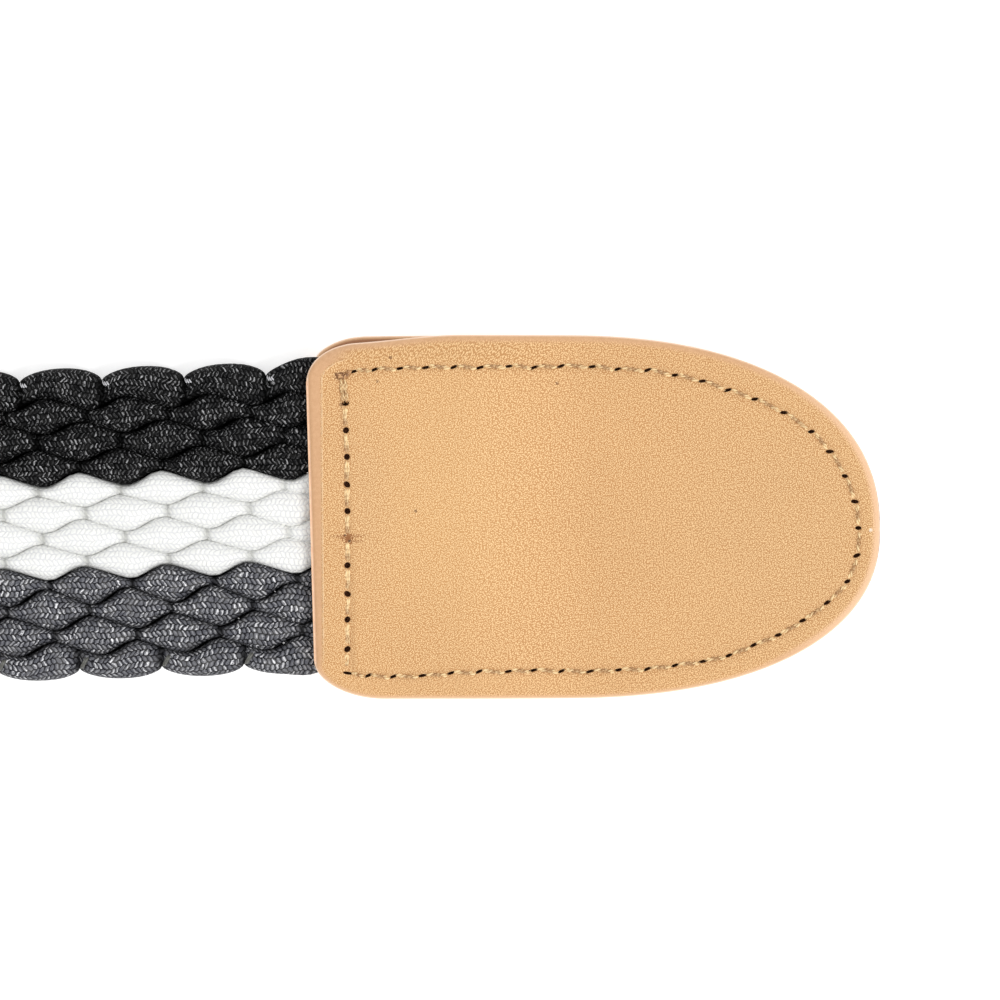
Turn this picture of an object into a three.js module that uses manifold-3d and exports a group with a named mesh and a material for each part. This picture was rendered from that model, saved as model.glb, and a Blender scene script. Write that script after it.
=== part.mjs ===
// A woven stretch belt, laid out straight with its face up. Lengths are in millimetres.
// +X runs along the belt towards the leather tip, +Y towards the black edge and +Z up.
// The underside of the tip rests at z = 0.
import * as THREE from "three";
import { mergeVertices } from "three/addons/utils/BufferGeometryUtils.js";
import Module from "manifold-3d";

// The woven strap
const STRAP_LENGTH = 870; // with the ends that are sewn between the leathers
const STRAP_WIDTH = 33.2; // over the crowns of both edges
const STRAP_THICKNESS = 4.4;
const WEAVE_PITCH = 8.7; // from one dip of a cord to the next
const WEAVE_RELIEF = 1.3; // a crown above a dip, on the face
const BACK_RELIEF = 0.5; // the same on the back
const SCALLOP_DEPTH = 1.1; // of the wavy outer edges
const PRESSED_THICKNESS = 2.4; // between the leathers
const PRESSED_RELIEF = 0.2;
const PRESS_RUN = 12; // length over which the strap flattens before a leather's mouth

// Both leather ends
const LEATHER = 1.5;
const LEATHER_WIDTH = 38.1;
const SETTLE_RUN = 14; // length over which the leathers close up past the strap's end
const GAP = 0.3; // between two pieces that touch on the real belt

// The tip
const TIP_LENGTH = 60;
const TIP_OVERLAP = 15.4; // how far the strap reaches into the tip
const TIP_TURN = THREE.MathUtils.degToRad(-1.65); // the tip is sewn on a little askew
const TIP_OFFSET = -0.13; // of its middle from the strap's, at the mouth
const NOSE_LENGTH = 33.6; // the part of the tip with curved sides
const NOSE_DROP = 1.4; // of the nose below the tip's middle
const NOSE_POWER_TOP = 2.3; // of the superellipse that each side of the nose follows
const NOSE_POWER_BOTTOM = 2.24;
const CORNER_TOP = 5; // radius of the front layer's upper corner at the mouth
const CORNER_BACK = 5.7; // the same on the back layer
const CORNER_LENGTH = 7.4; // of the lower corner, a quarter of an ellipse on both layers
const CORNER_DEPTH = 4.2;
const PEEK = 0.55; // how much of the back layer shows above the front one at the mouth
const MOUTH_TAPER = 0.3; // how much lower the upper edge of both layers is at the mouth
const PEEK_RUN = 16; // length over which both come to nothing

// The buckle end
const BUCKLE_OVERLAP = 15.4; // how far the strap reaches into the folded leather
const FOLD_LENGTH = 40; // from the mouth of the folded leather to the middle of the bar
const FOLD_RUN = 9; // length over which the fold closes up beside the bar
const FOLD_CORNER = 3.8;
const SLOT_RUN = 5; // how far the prong's slot runs past the bar
const BAR_DIAMETER = 3.5;
const RAIL_WIDTH = 4.5;
const RAIL_HEIGHT = 3.8;
const FRAME_REACH = 34; // from the bar to the front rail, between their middles
const FRAME_CORNER = 9;
const SIDE_CLEARANCE = 1; // between the leather's edge and the frame's side
const PRONG_WIDTH = 4;
const PRONG_HEIGHT = 2.4;
const PRONG_SEAT = 0.2; // how deep the prong's end is let into the front rail
const PRONG_PAST = 1.2; // how far the prong's end runs past the middle of the rail

// The twelve cords across the strap, from the black edge down.
// middle is a share of half the strap's width, and lag a share of the weave's pitch.
const CORDS = [
  { middle: 0.87, lag: -0.2 },
  { middle: 0.675, lag: 0.11 },
  { middle: 0.51, lag: 0 },
  { middle: 0.347, lag: 0 },
  { middle: 0.2, lag: -0.02 },
  { middle: 0.052, lag: 0.05 },
  { middle: -0.1, lag: 0.02 },
  { middle: -0.253, lag: 0.05 },
  { middle: -0.402, lag: 0.11 },
  { middle: -0.56, lag: 0.07 },
  { middle: -0.727, lag: 0.15 },
  { middle: -0.89, lag: -0.04 },
];

// The wavy seams between two colours, after the cord with that number.
// middle and swing are shares of half the strap's width.
const SEAMS = {
  3: { middle: 0.27, swing: 0.045 },
  7: { middle: -0.328, swing: 0.042 },
};

// The tip's sections across its width, as shares of half the width.
const FRONT_ACROSS = [-0.97, -0.89, -0.79, 0, 0.79, 0.89, 0.97];
const BACK_ACROSS = [-0.97, 0.97];
const NOSE_STATIONS = [0, 0.2, 0.4, 0.55, 0.68, 0.78, 0.86, 0.92, 0.96, 0.985, 0.9985];
const CORNER_STATIONS = [0, 0.08, 0.22, 0.5, 1];
const SETTLE_STATIONS = [0, 0.2, 0.4, 0.6, 0.8, 1];

const EDGE_DROP = 0.5; // how far the front layer's long edges come down, as a share of its lift

const { lerp, smoothstep } = THREE.MathUtils;
const wasm = await Module();
wasm.setup();

// A closed skin over rings of points. The ends are capped unless the rings join up.
function skin(rings, joined = false) {
  const sides = rings[0].length;
  const index = [];
  const bands = joined ? rings.length : rings.length - 1;
  for (let i = 0; i < bands; i++) {
    const here = i * sides;
    const next = ((i + 1) % rings.length) * sides;
    for (let k = 0; k < sides; k++) {
      const l = (k + 1) % sides;
      index.push(here + k, here + l, next + l, here + k, next + l, next + k);
    }
  }
  if (!joined) {
    index.push(...cap(rings[0], 0, true));
    index.push(...cap(rings.at(-1), (rings.length - 1) * sides, false));
  }
  const geometry = new THREE.BufferGeometry();
  const points = rings.flat().flatMap((p) => [p.x, p.y, p.z]);
  geometry.setAttribute("position", new THREE.Float32BufferAttribute(points, 3));
  geometry.setIndex(index);
  return facingOut(geometry);
}

// Triangles over a ring, wound like the ring or the other way round.
function cap(ring, first, reversed) {
  const flat = ring.map((p) => new THREE.Vector2(p.y, p.z));
  const turn = Math.sign(THREE.ShapeUtils.area(flat));
  return THREE.ShapeUtils.triangulateShape(flat, []).flatMap(([a, b, c]) => {
    const same = Math.sign(THREE.ShapeUtils.area([flat[a], flat[b], flat[c]])) === turn;
    const ordered = same === reversed ? [a, c, b] : [a, b, c];
    return ordered.map((i) => first + i);
  });
}

function facingOut(geometry) {
  const p = geometry.getAttribute("position");
  const index = Array.from(geometry.index.array);
  const corner = [new THREE.Vector3(), new THREE.Vector3(), new THREE.Vector3()];
  let volume = 0;
  for (let i = 0; i < index.length; i += 3) {
    corner.forEach((c, k) => c.fromBufferAttribute(p, index[i + k]));
    volume += corner[0].dot(corner[1].clone().cross(corner[2]));
  }
  if (volume < 0) index.reverse();
  geometry.setIndex(index);
  return geometry;
}

function toSolid(geometry) {
  const bare = geometry.clone();
  bare.deleteAttribute("normal");
  bare.deleteAttribute("uv");
  const merged = mergeVertices(bare);
  return new wasm.Manifold(
    new wasm.Mesh({
      numProp: 3,
      vertProperties: merged.getAttribute("position").array,
      triVerts: new Uint32Array(merged.index.array),
    }),
  );
}

function toGeometry(solid) {
  const mesh = solid.getMesh();
  const points = [];
  for (let i = 0; i < mesh.numVert; i++) {
    points.push(...mesh.vertProperties.subarray(i * mesh.numProp, i * mesh.numProp + 3));
  }
  const geometry = new THREE.BufferGeometry();
  geometry.setAttribute("position", new THREE.Float32BufferAttribute(points, 3));
  geometry.setIndex(Array.from(mesh.triVerts));
  return geometry;
}

function piece(name, geometry, color, roughness, metalness = 0) {
  const mesh = new THREE.Mesh(
    geometry,
    new THREE.MeshStandardMaterial({ color, roughness, metalness, flatShading: true }),
  );
  mesh.name = name;
  return mesh;
}

// The tip's mouth lies at x = 0, and the buckle end's mouth at foldMouth.
const strapStart = TIP_OVERLAP - STRAP_LENGTH;
const foldMouth = strapStart + BUCKLE_OVERLAP;
const strapFloor = LEATHER + GAP; // underside of the pressed strap
const lift = PRESSED_THICKNESS + GAP; // of the front leather over the strap

// The strap
const halfWidth = STRAP_WIDTH / 2;
const pitch = STRAP_LENGTH / Math.round(STRAP_LENGTH / WEAVE_PITCH);
const stationCount = Math.round((2 * STRAP_LENGTH) / pitch);

// 0 where the strap lies free, 1 where it is pressed between the leathers.
function pressAt(x) {
  const flat = 0.75 * pitch;
  const atTip = smoothstep(x, -flat - PRESS_RUN, -flat);
  const atBuckle = 1 - smoothstep(x, foldMouth + flat, foldMouth + flat + PRESS_RUN);
  return Math.max(atTip, atBuckle);
}

// level is a share of the strap's thickness, and relief is added to it.
function strapHeight(x, level, relief) {
  const free = level * STRAP_THICKNESS + relief;
  const scale = PRESSED_RELIEF / WEAVE_RELIEF;
  const pressed = strapFloor + level * PRESSED_THICKNESS + relief * scale;
  return lerp(free, pressed, pressAt(x));
}

function strapPoint(station, lag, y, level, relief) {
  const atEnd = station === 0 || station === stationCount;
  const line = TIP_OVERLAP - (station * pitch) / 2;
  const x = atEnd ? line : line + lag * pitch;
  return new THREE.Vector3(x, y, strapHeight(x, level, relief));
}

// Neighbouring cords are on top at alternate stations.
const onTop = (cord, station) => (cord + station) % 2 === 1;

function cordTop(cord, station) {
  const { middle, lag } = CORDS[cord];
  const relief = onTop(cord, station) ? 0 : -WEAVE_RELIEF;
  return strapPoint(station, lag, middle * halfWidth, 1, relief);
}

function cordBottom(cord, station) {
  const { middle, lag } = CORDS[cord];
  const relief = onTop(cord, station) ? BACK_RELIEF : 0;
  return strapPoint(station, lag, middle * halfWidth, 0, relief);
}

function outerEdge(cord, station) {
  const side = Math.sign(CORDS[cord].middle);
  const dip = onTop(cord, station) ? 0 : SCALLOP_DEPTH;
  return strapPoint(station, CORDS[cord].lag, side * (halfWidth - dip), 0.5, 0);
}

// One side of a seam between two colours. side is 1 for the colour above it.
function seamEdge(cord, station, side, level) {
  const { middle, swing } = SEAMS[cord];
  const sway = onTop(cord, station) ? -swing : swing;
  const y = (middle + sway) * halfWidth + (side * GAP) / 2;
  const lag = (CORDS[cord].lag + CORDS[cord + 1].lag) / 2;
  const relief = level === 1 ? -0.7 * WEAVE_RELIEF : 0.5 * BACK_RELIEF;
  return strapPoint(station, lag, y, level, relief);
}

function cordBand(first, last) {
  const rings = [];
  const cords = [];
  for (let cord = first; cord <= last; cord++) cords.push(cord);
  for (let station = 0; station <= stationCount; station++) {
    const ring = [];
    if (first === 0) ring.push(outerEdge(first, station));
    else ring.push(seamEdge(first - 1, station, -1, 1));
    ring.push(...cords.map((cord) => cordTop(cord, station)));
    if (last === CORDS.length - 1) {
      ring.push(outerEdge(last, station), cordBottom(last, station));
    } else {
      ring.push(seamEdge(last, station, 1, 1), seamEdge(last, station, 1, 0));
    }
    if (first === 0) ring.push(cordBottom(first, station));
    else ring.push(seamEdge(first - 1, station, -1, 0));
    rings.push(ring);
  }
  return skin(rings);
}

// The tip, in its own frame: u runs from the mouth to the nose, and v across.
const noseStart = TIP_LENGTH - NOSE_LENGTH;

function noseShare(u, power) {
  const t = Math.max(0, (u - noseStart) / NOSE_LENGTH);
  return (1 - t ** power) ** (1 / power);
}

// How much a rounded corner takes off an edge.
function cornerCut(u, length, depth) {
  const t = Math.max(0, 1 - u / length);
  return depth * (1 - Math.sqrt(1 - t * t));
}

function upperEdge(u) {
  const share = noseShare(u, NOSE_POWER_TOP);
  return -NOSE_DROP + (LEATHER_WIDTH / 2 + NOSE_DROP) * share;
}

function lowerEdge(u) {
  const share = noseShare(u, NOSE_POWER_BOTTOM);
  const edge = -NOSE_DROP - (LEATHER_WIDTH / 2 - NOSE_DROP) * share;
  return edge + cornerCut(u, CORNER_LENGTH, CORNER_DEPTH);
}

function frontUpperEdge(u) {
  const hidden = (MOUTH_TAPER + PEEK) * (1 - smoothstep(u, 0, PEEK_RUN));
  return upperEdge(u) - hidden - cornerCut(u, CORNER_TOP, CORNER_TOP);
}

function backUpperEdge(u) {
  const taper = MOUTH_TAPER * (1 - smoothstep(u, 0, PEEK_RUN));
  return upperEdge(u) - taper - cornerCut(u, CORNER_BACK, CORNER_BACK);
}

// How high the front layer is lifted off the back one, as a share of the full lift.
function liftShare(u, v) {
  const closing = TIP_OVERLAP + GAP;
  const along = 1 - smoothstep(u, closing, closing + SETTLE_RUN);
  const shoulder = LEATHER_WIDTH / 2 - 0.94 * halfWidth;
  const outside = Math.abs(v) - 0.94 * halfWidth;
  return along * (1 - EDGE_DROP * smoothstep(outside, 0, shoulder));
}

// The mouth is cut square to the strap, so it runs askew in the tip's own frame.
function mouthShift(u, v) {
  return v * Math.tan(TIP_TURN) * (1 - smoothstep(u, 0, noseStart));
}

function tipStations() {
  const closing = TIP_OVERLAP + GAP;
  const all = [
    ...CORNER_STATIONS.map((share) => share * CORNER_LENGTH),
    ...SETTLE_STATIONS.map((share) => closing + share * SETTLE_RUN),
    ...NOSE_STATIONS.map((share) => noseStart + share * NOSE_LENGTH),
  ];
  all.sort((a, b) => a - b);
  return all.filter((u, i) => i === 0 || u - all[i - 1] > 0.05);
}

function tipLayer(across, upper, lower, underside) {
  const rings = tipStations().map((u) => {
    const middle = (upper(u) + lower(u)) / 2;
    const half = (upper(u) - lower(u)) / 2;
    const at = (share, level) => {
      const v = middle + share * half;
      return new THREE.Vector3(u + mouthShift(u, v), v, underside(u, v) + level * LEATHER);
    };
    return [
      ...across.map((share) => at(share, 0)),
      at(1, 0.25),
      at(1, 0.75),
      ...across.map((share) => at(-share, 1)),
      at(-1, 0.75),
      at(-1, 0.25),
    ];
  });
  return skin(rings);
}

const frontUnderside = (u, v) => LEATHER + GAP + lift * liftShare(u, v);
const tipFront = tipLayer(FRONT_ACROSS, frontUpperEdge, lowerEdge, frontUnderside);
const tipBack = tipLayer(BACK_ACROSS, backUpperEdge, lowerEdge, () => 0);

// The buckle end, in a frame with the bar's middle at x = 0 and the strap towards +X.
const barHeight = LEATHER + GAP + BAR_DIAMETER / 2;
const foldRadius = BAR_DIAMETER / 2 + GAP + LEATHER / 2; // of the leather's middle round the bar

// Height of the front run's middle above the table.
function frontRun(x) {
  const top = barHeight + foldRadius;
  const closed = 1.5 * LEATHER + GAP;
  const opening = FOLD_LENGTH - BUCKLE_OVERLAP - GAP;
  const nearBar = 1 - smoothstep(x, 0, FOLD_RUN);
  const overStrap = smoothstep(x, opening - SETTLE_RUN, opening);
  return closed + (top - closed) * nearBar + lift * overStrap;
}

// The middle of the folded leather, seen from the side, from one mouth round the bar to the other.
function foldPath() {
  const runs = [
    ...CORNER_STATIONS.map((share) => FOLD_LENGTH - share * FOLD_CORNER),
    ...SETTLE_STATIONS.map((share) => FOLD_LENGTH - BUCKLE_OVERLAP - GAP - share * SETTLE_RUN),
    ...SETTLE_STATIONS.map((share) => FOLD_RUN * (1 - share)),
  ];
  runs.sort((a, b) => b - a);
  const open = runs.filter((x, i) => i === 0 || runs[i - 1] - x > 0.05);
  const back = open.map((x) => new THREE.Vector3(x, 0, LEATHER / 2));
  const bend = [0.125, 0.25, 0.375, 0.5, 0.625, 0.75, 0.875].map((share) => {
    const angle = -Math.PI * (0.5 + share);
    return new THREE.Vector3(foldRadius * Math.cos(angle), 0, barHeight + foldRadius * Math.sin(angle));
  });
  const front = open.map((x) => new THREE.Vector3(x, 0, frontRun(x))).reverse();
  return [...back, ...bend, ...front];
}

function foldedLeather() {
  const path = foldPath();
  const rings = path.map((p, i) => {
    const before = path[Math.max(i - 1, 0)];
    const after = path[Math.min(i + 1, path.length - 1)];
    const along = after.clone().sub(before).normalize();
    const normal = new THREE.Vector3(along.z, 0, -along.x);
    const half = LEATHER_WIDTH / 2 - cornerCut(FOLD_LENGTH - p.x, FOLD_CORNER, FOLD_CORNER);
    const at = (share, level) => {
      const point = p.clone().addScaledVector(normal, level * LEATHER);
      point.y = share * half;
      return point;
    };
    return [
      at(-0.97, -0.5),
      at(0.97, -0.5),
      at(1, -0.25),
      at(1, 0.25),
      at(0.97, 0.5),
      at(-0.97, 0.5),
      at(-1, 0.25),
      at(-1, -0.25),
    ];
  });
  const outside = foldRadius + LEATHER;
  const slot = new THREE.BoxGeometry(
    outside + SLOT_RUN,
    PRONG_WIDTH + 2 * GAP,
    2 * (barHeight + outside),
  );
  slot.translate((SLOT_RUN - outside) / 2, 0, 0);
  return toGeometry(toSolid(skin(rings)).subtract(toSolid(slot)));
}

// A closed eight-sided section, wide across the way it runs and high along Z.
function railRing(centre, side, width, height) {
  const ring = [];
  for (let k = 0; k < 8; k++) {
    const angle = ((k + 0.5) * Math.PI) / 4;
    const reach = 1 / Math.cos(Math.PI / 8);
    const out = (reach * Math.cos(angle) * width) / 2;
    const up = (reach * Math.sin(angle) * height) / 2;
    ring.push(new THREE.Vector3(centre.x + side.x * out, centre.y + side.y * out, centre.z + up));
  }
  return ring;
}

// The frame slopes from the bar, held up by the leather, down to the rail on the table.
function frameHeight(x) {
  return lerp(barHeight, RAIL_HEIGHT / 2, -x / FRAME_REACH);
}

function buckleSolid() {
  const side = LEATHER_WIDTH / 2 + SIDE_CLEARANCE + RAIL_WIDTH / 2;
  const barCorner = side - LEATHER_WIDTH / 2 - GAP;
  const quarter = (cx, cy, radius, from) =>
    [0, 0.25, 0.5, 0.75, 1].map((share) => {
      const angle = from + (share * Math.PI) / 2;
      const out = new THREE.Vector3(Math.cos(angle), Math.sin(angle), 0);
      return { at: new THREE.Vector3(cx, cy, 0).addScaledVector(out, radius), out };
    });
  const path = [
    ...quarter(-barCorner, side - barCorner, barCorner, 0),
    ...quarter(FRAME_CORNER - FRAME_REACH, side - FRAME_CORNER, FRAME_CORNER, Math.PI / 2),
    ...quarter(FRAME_CORNER - FRAME_REACH, FRAME_CORNER - side, FRAME_CORNER, Math.PI),
    ...quarter(-barCorner, barCorner - side, barCorner, 1.5 * Math.PI),
  ];
  const frame = path.map(({ at, out }) => {
    const full = smoothstep(-at.x, 0, barCorner);
    at.z = frameHeight(at.x);
    return railRing(
      at,
      out,
      lerp(BAR_DIAMETER, RAIL_WIDTH, full),
      lerp(BAR_DIAMETER, RAIL_HEIGHT, full),
    );
  });

  const seated = 0.85; // the prong's size over the rail, as a share of its full size
  const rest = RAIL_HEIGHT + (seated * PRONG_HEIGHT) / 2 - PRONG_SEAT;
  const prongSteps = [
    { x: 0.25 * BAR_DIAMETER, z: barHeight, size: 0.8 },
    { x: -0.2 * BAR_DIAMETER, z: barHeight + 0.1 * PRONG_HEIGHT, size: 1 },
    { x: -0.25 * FRAME_REACH, z: rest + 0.1 * PRONG_HEIGHT, size: 1 },
    { x: -0.6 * FRAME_REACH, z: rest + 0.15 * PRONG_HEIGHT, size: 0.95 },
    { x: -FRAME_REACH, z: rest, size: seated },
    { x: -FRAME_REACH - PRONG_PAST, z: rest - 0.1 * PRONG_HEIGHT, size: 0.6 },
  ];
  const across = new THREE.Vector3(0, 1, 0);
  const prong = prongSteps.map(({ x, z, size }) =>
    railRing(new THREE.Vector3(x, 0, z), across, size * PRONG_WIDTH, size * PRONG_HEIGHT),
  );
  return toGeometry(toSolid(skin(frame, true)).add(toSolid(skin(prong))));
}

const BLACK = 0x1d1d20;
const WHITE = 0xf1f1f2;
const GREY = 0x4b4c52;
const TAN = 0xe8bd87;
const STEEL = 0xb9babc;

const strap = new THREE.Group();
strap.add(
  piece("black_cords", cordBand(0, 3), BLACK, 0.6),
  piece("white_cords", cordBand(4, 7), WHITE, 0.6),
  piece("grey_cords", cordBand(8, 11), GREY, 0.6),
);

const tip = new THREE.Group();
tip.position.y = TIP_OFFSET;
tip.rotation.z = TIP_TURN;
tip.add(
  piece("tip_front_leather", tipFront, TAN, 0.55),
  piece("tip_back_leather", tipBack, TAN, 0.55),
);

const buckleEnd = new THREE.Group();
buckleEnd.position.x = foldMouth - FOLD_LENGTH;
buckleEnd.add(
  piece("buckle_leather", foldedLeather(), TAN, 0.55),
  piece("buckle", buckleSolid(), STEEL, 0.3, 1),
);

const belt = new THREE.Group();
belt.add(strap, tip, buckleEnd);

// The origin lies in the middle of the belt's underside.
const bounds = new THREE.Box3().setFromObject(belt, true);
const middle = bounds.getCenter(new THREE.Vector3());
belt.position.set(-middle.x, -middle.y, -bounds.min.z);

export default belt;
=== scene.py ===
"""A woven stretch belt with a stitched leather tip, lying flat and seen from straight above.

Lengths are in millimetres until a piece is made, and then in metres.
"""

import math

import bmesh
import bpy
import numpy as np
from mathutils import Euler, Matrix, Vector


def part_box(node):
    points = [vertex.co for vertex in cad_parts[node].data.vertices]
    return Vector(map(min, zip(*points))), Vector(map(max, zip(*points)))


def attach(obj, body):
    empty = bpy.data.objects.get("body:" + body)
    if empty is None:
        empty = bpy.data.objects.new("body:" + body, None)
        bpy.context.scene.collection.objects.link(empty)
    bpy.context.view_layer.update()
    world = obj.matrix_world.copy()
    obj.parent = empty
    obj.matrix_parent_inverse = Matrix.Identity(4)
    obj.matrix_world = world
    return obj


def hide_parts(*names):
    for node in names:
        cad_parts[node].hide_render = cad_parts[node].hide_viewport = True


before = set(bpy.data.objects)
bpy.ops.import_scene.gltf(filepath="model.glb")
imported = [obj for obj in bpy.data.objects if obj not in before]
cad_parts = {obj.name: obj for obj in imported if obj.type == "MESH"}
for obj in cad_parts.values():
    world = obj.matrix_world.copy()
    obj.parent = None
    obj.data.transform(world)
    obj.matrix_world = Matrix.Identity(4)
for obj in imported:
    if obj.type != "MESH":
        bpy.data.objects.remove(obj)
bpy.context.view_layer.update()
MM = 0.001

# The belt's sizes, as in the solids
STRAP_THICKNESS = 4.4
WEAVE_PITCH = 8.7
PRESSED_THICKNESS = 2.4
LEATHER = 1.5
GAP = 0.3
LEATHER_WIDTH = 38.1
SETTLE_RUN = 14.0
TIP_LENGTH = 60.0
TIP_OVERLAP = 15.4
TIP_TURN = math.radians(-1.65)
TIP_OFFSET = -0.13
NOSE_LENGTH = 33.6
NOSE_DROP = 1.4
BUCKLE_OVERLAP = 15.4
FOLD_LENGTH = 40.0
FOLD_RUN = 9.0
FOLD_CORNER = 3.8
BAR_DIAMETER = 3.5
RAIL_WIDTH = 4.5
RAIL_HEIGHT = 3.8
FRAME_REACH = 34.0
FRAME_CORNER = 9.0
SIDE_CLEARANCE = 1.0
PRONG_WIDTH = 4.0
PRONG_HEIGHT = 2.4

STRAP_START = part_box("black_cords")[0].x / MM
STRAP_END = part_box("black_cords")[1].x / MM
MOUTH = STRAP_END - TIP_OVERLAP
FOLD_MOUTH = STRAP_START + BUCKLE_OVERLAP
BAR_X = FOLD_MOUTH - FOLD_LENGTH

# The tip's soft edges look narrower than they are, so its outline is let out by this much
LET_OUT = 0.2

# The picture's scale, and where the tip's own frame starts in it
MM_PER_PIXEL = 0.1056
MOUTH_PIXEL = 310.5
MIDDLE_PIXEL = 516.5
PICTURE_MIDDLE = (500, 500)


def clamp01(t):
    return np.clip(t, 0.0, 1.0)


def smooth(t):
    t = clamp01(t)
    return t * t * (3 - 2 * t)


def tip_place(pixel):
    """A point of the picture in the tip's own frame."""
    return ((pixel[0] - MOUTH_PIXEL) * MM_PER_PIXEL, (MIDDLE_PIXEL - pixel[1]) * MM_PER_PIXEL)


def tip_to_row(u, v):
    """From the tip's own frame to the belt's."""
    c, s = math.cos(TIP_TURN), math.sin(TIP_TURN)
    return MOUTH + u * c - v * s, TIP_OFFSET + u * s + v * c


# Making pieces


class Skin:
    """Points, faces and texture places of one piece, gathered before it is made."""

    def __init__(self):
        self.points, self.faces, self.uv, self.marks = [], [], [], []
        self.count = 0

    def sweep(self, rings, along, joined=False, around=None, mark=None):
        """Adds a tube through rings, an array of shape (rings, sides, 3)."""
        n, s = rings.shape[:2]
        self.marks.append(np.zeros(n * s) if mark is None else mark.ravel())
        if around is None:
            around = np.repeat(np.linspace(0, 1, s + 1)[None], n, 0)
        rows, cols = np.meshgrid(np.arange(n if joined else n - 1), np.arange(s), indexing="ij")
        rows, cols = rows.ravel(), cols.ravel()
        after, right = (rows + 1) % n, (cols + 1) % s
        quads = np.stack([rows * s + cols, rows * s + right, after * s + right, after * s + cols], 1)
        here = np.stack([along[rows], around[rows, cols], along[rows], around[rows, cols + 1]], 1)
        there = np.stack([along[rows + 1], around[after, cols + 1], along[rows + 1], around[after, cols]], 1)
        uv = np.concatenate([here, there], 1).reshape(-1, 4, 2)
        flat = rings.reshape(-1, 3)
        corner = flat[quads]
        normal = np.cross(corner[:, 2] - corner[:, 0], corner[:, 3] - corner[:, 1])
        inward = np.einsum("ij,ij->", normal, corner.mean(1) - rings.mean(1)[rows]) < 0
        if inward:
            quads, uv = quads[:, ::-1], uv[:, ::-1]
        self.points.append(flat)
        self.faces += (quads + self.count).tolist()
        self.uv.append(uv.reshape(-1, 2))
        if not joined:
            first = np.arange(s) + self.count
            last = first + (n - 1) * s
            first, last = (first, last[::-1]) if inward else (first[::-1], last)
            self.faces += [first.tolist(), last.tolist()]
            self.uv.append(np.zeros((2 * s, 2)))
        self.count += n * s

    def make(self, name, material):
        mesh = bpy.data.meshes.new(name)
        mesh.from_pydata((np.concatenate(self.points) * MM).tolist(), [], self.faces)
        layer = mesh.uv_layers.new(name="along_round")
        layer.data.foreach_set("uv", np.concatenate(self.uv).astype(np.float32).ravel())
        mark = mesh.attributes.new("shade", "FLOAT", "POINT")
        mark.data.foreach_set("value", np.concatenate(self.marks).astype(np.float32))
        mesh.polygons.foreach_set("use_smooth", np.ones(len(mesh.polygons), bool))
        mesh.materials.append(material)
        mesh.update()
        made = bpy.data.objects.new(name, mesh)
        bpy.context.collection.objects.link(made)
        return made


def finish_piece(piece, slot, *nodes):
    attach(piece, "root")
    if nodes:
        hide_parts(*nodes)


# Materials


class Shader:
    """A material's nodes, written as short sums."""

    def __init__(self, name):
        self.material = bpy.data.materials.new(name)
        self.material.use_nodes = True
        self.tree = self.material.node_tree
        self.surface = self.tree.nodes["Principled BSDF"]

    def node(self, kind, values=(), **settings):
        made = self.tree.nodes.new(kind)
        for key, value in settings.items():
            setattr(made, key, value)
        for socket, value in dict(values).items():
            self.put(made.inputs[socket], value)
        return made

    def put(self, socket, value):
        if isinstance(value, bpy.types.NodeSocket):
            self.tree.links.new(value, socket)
        else:
            socket.default_value = value

    def math(self, operation, a, b=0.0, c=0.0):
        made = self.node("ShaderNodeMath", {0: a, 1: b, 2: c}, operation=operation)
        return made.outputs[0]

    def ramp(self, value, low, high, to_low=0.0, to_high=1.0):
        """A smooth step of value from low to high."""
        made = self.node(
            "ShaderNodeMapRange",
            {"Value": value, "From Min": low, "From Max": high, "To Min": to_low, "To Max": to_high},
            interpolation_type="SMOOTHSTEP",
        )
        return made.outputs["Result"]

    def mix(self, share, a, b, blend="MIX"):
        made = self.node("ShaderNodeMix", data_type="RGBA", blend_type=blend)
        for socket, value in (("Factor", share), ("A", a), ("B", b)):
            place = [s for s in made.inputs if s.name == socket and s.enabled][0]
            if not isinstance(value, bpy.types.NodeSocket) and socket != "Factor":
                value = (*value, 1.0)
            self.put(place, value)
        return [s for s in made.outputs if s.enabled][0]

    def noise(self, place, scale, detail=2.0, roughness=0.5):
        made = self.node(
            "ShaderNodeTexNoise",
            {"Vector": place, "Scale": scale, "Detail": detail, "Roughness": roughness},
        )
        return made.outputs[0]

    def join(self, x, y, z=0.0):
        return self.node("ShaderNodeCombineXYZ", {0: x, 1: y, 2: z}).outputs[0]

    def bump(self, height, depth, strength=1.0):
        made = self.node("ShaderNodeBump", {"Height": height, "Strength": strength, "Distance": depth * MM})
        self.put(self.surface.inputs["Normal"], made.outputs[0])

    def set(self, **values):
        for key, value in values.items():
            self.put(self.surface.inputs[key.replace("_", " ")], value)


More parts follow.
